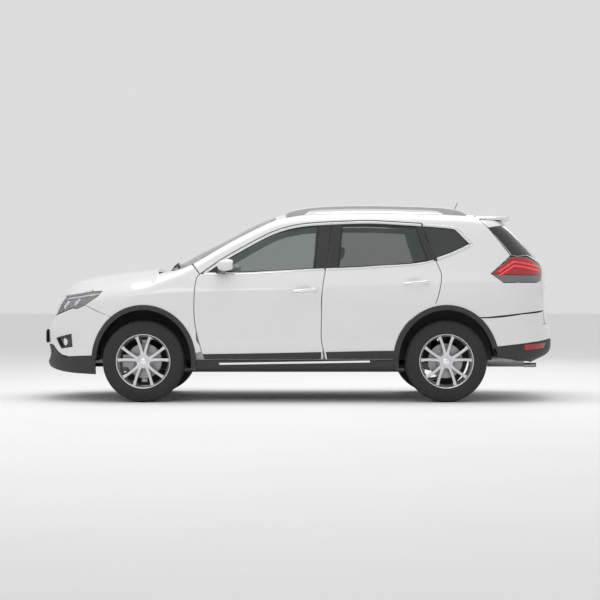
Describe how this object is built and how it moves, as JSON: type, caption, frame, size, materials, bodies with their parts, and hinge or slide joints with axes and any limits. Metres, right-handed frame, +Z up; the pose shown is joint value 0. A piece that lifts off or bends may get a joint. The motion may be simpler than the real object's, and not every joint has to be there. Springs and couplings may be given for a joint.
{
  "type": "compact suv",
  "caption": "Five-door family SUV with opening doors, bonnet and tailgate, steered front wheels, roof rails, alloy wheels and dark lower cladding",
  "frame": {"origin": "centre of the footprint on the ground, at the bottom of the tyres", "axes": "+X towards the rear, +Y to the right-hand side, +Z up"},
  "size_m": [4.6885, 2.0774, 1.829],
  "materials": {
    "body_paint": "gloss white paint",
    "black_plastic": "grained black plastic",
    "dark_steel": "dark coated steel",
    "clear_glass": "lightly tinted glass",
    "dark_glass": "dark tinted glass",
    "lamp_clear": "clear lamp cover over reflectors",
    "lamp_red": "red lamp cover",
    "satin_metal": "satin silver",
    "alloy": "silver painted alloy",
    "tyre_rubber": "black rubber",
    "seat_fabric": "woven cloth",
    "cabin_plastic": "soft dark plastic",
    "bare_metal": "machined metal"
  },
  "bodies": {
    "body": {"floor_pan": "dark_steel", "wheel_housings": "black_plastic", "body_side_left": "body_paint", "body_side_right": "body_paint", "door_frame_left": "body_paint", "door_frame_right": "body_paint", "roof_panel": "body_paint", "front_wings": "body_paint", "front_bumper": "body_paint", "front_frame": "dark_steel", "radiator": "bare_metal", "grille": "black_plastic", "headlamps": "lamp_clear", "fog_lamps": "black_plastic", "rear_bumper": "body_paint", "rear_frame": "dark_steel", "tail_lamps": "lamp_red", "windscreen": "clear_glass", "quarter_windows": "dark_glass", "roof_rails": "satin_metal", "lower_cladding": "black_plastic", "sills": "black_plastic", "cowl": "black_plastic", "hinges": "dark_steel", "front_seats": "seat_fabric", "rear_seat": "seat_fabric", "dashboard": "cabin_plastic", "steering_wheel": "cabin_plastic", "engine": "bare_metal", "front_subframe": "dark_steel", "rear_subframe": "dark_steel", "exhaust": "bare_metal", "fuel_tank": "dark_steel", "antenna": "black_plastic"},
    "bonnet": {"bonnet": "body_paint"},
    "tailgate": {"tailgate": "body_paint", "tailgate_glass": "dark_glass", "spoiler": "body_paint"},
    "front_door_left": {"front_door_left": "body_paint", "front_glass_left": "clear_glass", "mirror_left": "body_paint"},
    "rear_door_left": {"rear_door_left": "body_paint", "rear_glass_left": "dark_glass"},
    "knuckle_left": {"knuckle_left": "bare_metal"},
    "wheel_front_left": {"wheel_front_left": "alloy", "tyre_front_left": "tyre_rubber"},
    "wheel_rear_left": {"wheel_rear_left": "alloy", "tyre_rear_left": "tyre_rubber"},
    "front_door_right": {"front_door_right": "body_paint", "front_glass_right": "clear_glass", "mirror_right": "body_paint"},
    "rear_door_right": {"rear_door_right": "body_paint", "rear_glass_right": "dark_glass"},
    "knuckle_right": {"knuckle_right": "bare_metal"},
    "wheel_front_right": {"wheel_front_right": "alloy", "tyre_front_right": "tyre_rubber"},
    "wheel_rear_right": {"wheel_rear_right": "alloy", "tyre_rear_right": "tyre_rubber"}
  },
  "joints": [
    {"name": "front_door_left_hinge", "type": "hinge", "parent": "body", "child": "front_door_left", "pos_m": [-0.895, -0.86835, 0.9], "axis": [0, 0, -1], "range_deg": [0, 60]},
    {"name": "rear_door_left_hinge", "type": "hinge", "parent": "body", "child": "rear_door_left", "pos_m": [0.238, -0.87878, 0.9], "axis": [0, 0, -1], "range_deg": [0, 60]},
    {"name": "front_door_right_hinge", "type": "hinge", "parent": "body", "child": "front_door_right", "pos_m": [-0.895, 0.86835, 0.9], "axis": [0, 0, 1], "range_deg": [0, 60]},
    {"name": "rear_door_right_hinge", "type": "hinge", "parent": "body", "child": "rear_door_right", "pos_m": [0.238, 0.87878, 0.9], "axis": [0, 0, 1], "range_deg": [0, 60]},
    {"name": "bonnet_hinge", "type": "hinge", "parent": "body", "child": "bonnet", "pos_m": [-1.27, 0, 1.095], "axis": [0, 1, 0], "range_deg": [0, 45]},
    {"name": "tailgate_hinge", "type": "hinge", "parent": "body", "child": "tailgate", "pos_m": [1.636, 0, 1.688], "axis": [0, -1, 0], "range_deg": [0, 80]},
    {"name": "steer_left", "type": "hinge", "parent": "body", "child": "knuckle_left", "pos_m": [-1.38, -0.7565, 0.366], "axis": [0, 0, 1], "range_deg": [-35, 35]},
    {"name": "spin_front_left", "type": "hinge", "parent": "knuckle_left", "child": "wheel_front_left", "pos_m": [-1.38, -0.7965, 0.366], "axis": [0, 1, 0], "continuous": true},
    {"name": "spin_rear_left", "type": "hinge", "parent": "body", "child": "wheel_rear_left", "pos_m": [1.32, -0.7965, 0.366], "axis": [0, 1, 0], "continuous": true},
    {"name": "steer_right", "type": "hinge", "parent": "body", "child": "knuckle_right", "pos_m": [-1.38, 0.7565, 0.366], "axis": [0, 0, 1], "range_deg": [-35, 35]},
    {"name": "spin_front_right", "type": "hinge", "parent": "knuckle_right", "child": "wheel_front_right", "pos_m": [-1.38, 0.7965, 0.366], "axis": [0, 1, 0], "continuous": true},
    {"name": "spin_rear_right", "type": "hinge", "parent": "body", "child": "wheel_rear_right", "pos_m": [1.32, 0.7965, 0.366], "axis": [0, 1, 0], "continuous": true}
  ],
  "couplings": [
    {"joint": "steer_right", "follows": "steer_left", "ratio": 1}
  ]
}
